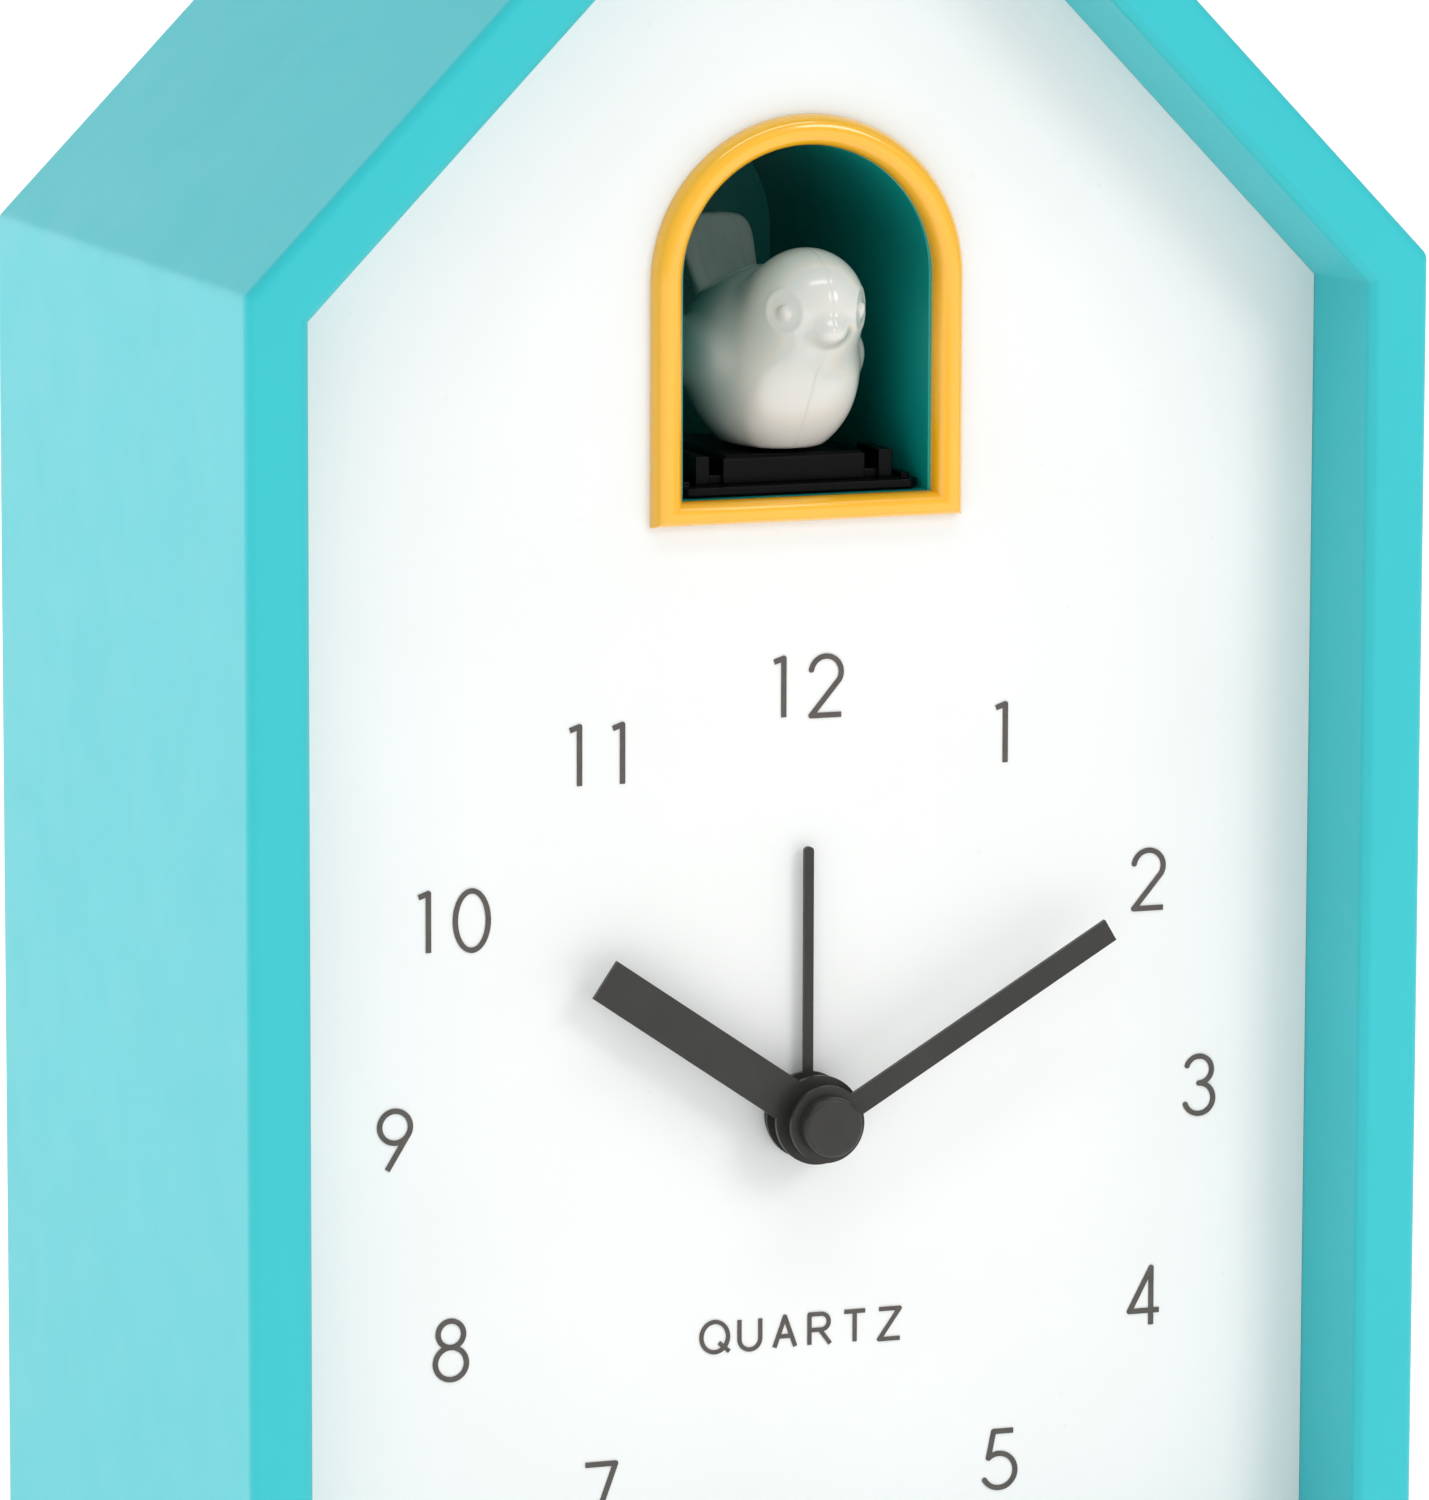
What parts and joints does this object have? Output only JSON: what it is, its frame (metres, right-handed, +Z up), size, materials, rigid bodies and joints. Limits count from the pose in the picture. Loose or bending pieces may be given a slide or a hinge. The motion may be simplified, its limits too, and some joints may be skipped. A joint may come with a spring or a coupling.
{
  "type": "cuckoo clock",
  "caption": "House-shaped quartz cuckoo alarm clock: deep case, recessed dial, arched niche with a sliding bird, three hands, working motion work and back controls.",
  "frame": {"origin": "middle of the footprint, on the table under the rubber feet", "axes": "+Z up, the dial faces -Y, +X to the right as seen from the front"},
  "size_m": [0.14, 0.095, 0.2413],
  "materials": {
    "case": "satin",
    "dial": "matte",
    "ink": "matte",
    "yellow": "gloss",
    "white": "gloss",
    "black": "satin",
    "hands": "matte",
    "brass": "polished",
    "steel": "brushed",
    "zinc": "plated",
    "nylon": "satin",
    "movement": "satin",
    "copper": "lacquered",
    "board": "satin",
    "chip": "matte",
    "cell": "gloss",
    "paper": "matte",
    "rubber": "matte",
    "magnet": "matte"
  },
  "bodies": {
    "case": {"house_shell": "case", "dial_panel": "dial", "numerals": "ink", "arch_bezel": "yellow", "niche_tunnel": "case", "back_cover": "case", "cover_screws": "steel", "dial_screws": "steel", "small_screws": "steel", "movement_screws": "steel", "movement_front": "movement", "movement_rear": "movement", "movement_plate": "brass", "stator": "steel", "coil": "copper", "movement_board": "board", "speaker_frame": "steel", "speaker_cone": "paper", "speaker_magnet": "magnet", "sound_board": "board", "board_chips": "chip", "switch_bodies": "chip", "battery_cells": "cell", "battery_contacts": "zinc", "rubber_feet": "rubber", "drive_bracket": "movement", "drive_pins": "steel", "motor_can": "zinc", "limit_switch": "chip"},
    "bird_carriage": {"carriage_plate": "black", "carriage_block": "black", "carriage_rack": "nylon", "bird_left": "white", "bird_right": "white"},
    "slow_drive": {"slow_gear": "nylon"},
    "fast_drive": {"fast_gear": "nylon"},
    "motor_rotor": {"motor_shaft": "steel", "motor_pinion": "brass"},
    "minute": {"minute_arbor": "steel", "minute_hand": "hands", "hand_cap": "hands"},
    "hour": {"hour_wheel": "brass", "hour_hand": "hands"},
    "motion_wheel": {"minute_wheel": "brass"},
    "time_setting": {"time_shaft": "steel", "time_knob": "black"},
    "alarm": {"alarm_wheel": "brass", "alarm_hand": "hands"},
    "alarm_setting": {"alarm_shaft": "steel", "alarm_knob": "black"},
    "centre": {"centre_wheel": "brass"},
    "third": {"third_wheel": "nylon"},
    "fourth": {"fourth_wheel": "nylon"},
    "step": {"step_wheel": "nylon"},
    "stepper": {"rotor_pinion": "nylon", "rotor_magnet": "magnet"},
    "door": {"battery_door": "case"},
    "alarm_switch": {"alarm_slider": "black"},
    "sound_switch": {"sound_slider": "black"},
    "call": {"call_button": "yellow"}
  },
  "joints": [
    {"name": "bird_slide", "type": "slide", "parent": "case", "child": "bird_carriage", "axis": [0, -1, 0], "range_m": [-0.012, 0.012]},
    {"name": "slow_turn", "type": "hinge", "parent": "case", "child": "slow_drive", "pos_m": [0.005, -0.0017, 0.132], "axis": [1, 0, 0], "range_deg": [-117, 117]},
    {"name": "fast_turn", "type": "hinge", "parent": "case", "child": "fast_drive", "pos_m": [0.005, 0.00679, 0.12351], "axis": [1, 0, 0], "range_deg": [-350, 350]},
    {"name": "motor_turn", "type": "hinge", "parent": "case", "child": "motor_rotor", "pos_m": [0.005, -0.00496, 0.11924], "axis": [1, 0, 0], "range_deg": [-1400, 1400]},
    {"name": "minute_turn", "type": "hinge", "parent": "case", "child": "minute", "pos_m": [0, -0.02, 0.0736], "axis": [0, 1, 0], "continuous": true},
    {"name": "hour_turn", "type": "hinge", "parent": "case", "child": "hour", "pos_m": [0, -0.02, 0.0736], "axis": [0, 1, 0], "continuous": true},
    {"name": "motion_turn", "type": "hinge", "parent": "case", "child": "motion_wheel", "pos_m": [-0.01039, -0.02, 0.0676], "axis": [0, 1, 0], "continuous": true},
    {"name": "time_knob_turn", "type": "hinge", "parent": "case", "child": "time_setting", "pos_m": [-0.00439, -0.02, 0.05721], "axis": [0, 1, 0], "continuous": true},
    {"name": "alarm_turn", "type": "hinge", "parent": "case", "child": "alarm", "pos_m": [0, -0.02, 0.0736], "axis": [0, 1, 0], "continuous": true},
    {"name": "alarm_knob_turn", "type": "hinge", "parent": "case", "child": "alarm_setting", "pos_m": [0.01175, -0.02, 0.06932], "axis": [0, 1, 0], "continuous": true},
    {"name": "fourth_turn", "type": "hinge", "parent": "case", "child": "fourth", "pos_m": [-0.00464, -0.02, 0.08472], "axis": [0, 1, 0], "continuous": true},
    {"name": "third_turn", "type": "hinge", "parent": "case", "child": "third", "pos_m": [0.0054, -0.02, 0.08295], "axis": [0, 1, 0], "continuous": true},
    {"name": "centre_turn", "type": "hinge", "parent": "case", "child": "centre", "pos_m": [0, -0.02, 0.0736], "axis": [0, 1, 0], "continuous": true},
    {"name": "step_turn", "type": "hinge", "parent": "case", "child": "step", "pos_m": [-0.01423, -0.02, 0.08124], "axis": [0, 1, 0], "continuous": true},
    {"name": "rotor_turn", "type": "hinge", "parent": "case", "child": "stepper", "pos_m": [-0.0168, -0.02, 0.07419], "axis": [0, 1, 0], "continuous": true},
    {"name": "door_hinge", "type": "hinge", "parent": "case", "child": "door", "pos_m": [0, 0.0455, 0.0078], "axis": [-1, 0, 0], "range_deg": [0, 100]},
    {"name": "alarm_switch_slide", "type": "slide", "parent": "case", "child": "alarm_switch", "axis": [1, 0, 0], "range_m": [0, 0.005]},
    {"name": "sound_switch_slide", "type": "slide", "parent": "case", "child": "sound_switch", "axis": [1, 0, 0], "range_m": [0, 0.005]},
    {"name": "call_press", "type": "slide", "parent": "case", "child": "call", "axis": [0, -1, 0], "range_m": [0, 0.001], "stiffness_N_per_m": 300, "springref_m": -0.001}
  ],
  "couplings": [
    {"joint": "slow_turn", "follows": "bird_slide", "rad_per_m": 166.67},
    {"joint": "fast_turn", "follows": "bird_slide", "rad_per_m": -500},
    {"joint": "motor_turn", "follows": "bird_slide", "rad_per_m": 2000},
    {"joint": "hour_turn", "follows": "minute_turn", "ratio": 0.083333},
    {"joint": "motion_turn", "follows": "minute_turn", "ratio": -0.33333},
    {"joint": "time_knob_turn", "follows": "minute_turn", "ratio": 1},
    {"joint": "alarm_knob_turn", "follows": "alarm_turn", "ratio": -4},
    {"joint": "third_turn", "follows": "fourth_turn", "ratio": -0.13333},
    {"joint": "centre_turn", "follows": "fourth_turn", "ratio": 0.016667},
    {"joint": "step_turn", "follows": "fourth_turn", "ratio": -7.5},
    {"joint": "rotor_turn", "follows": "fourth_turn", "ratio": 30}
  ]
}
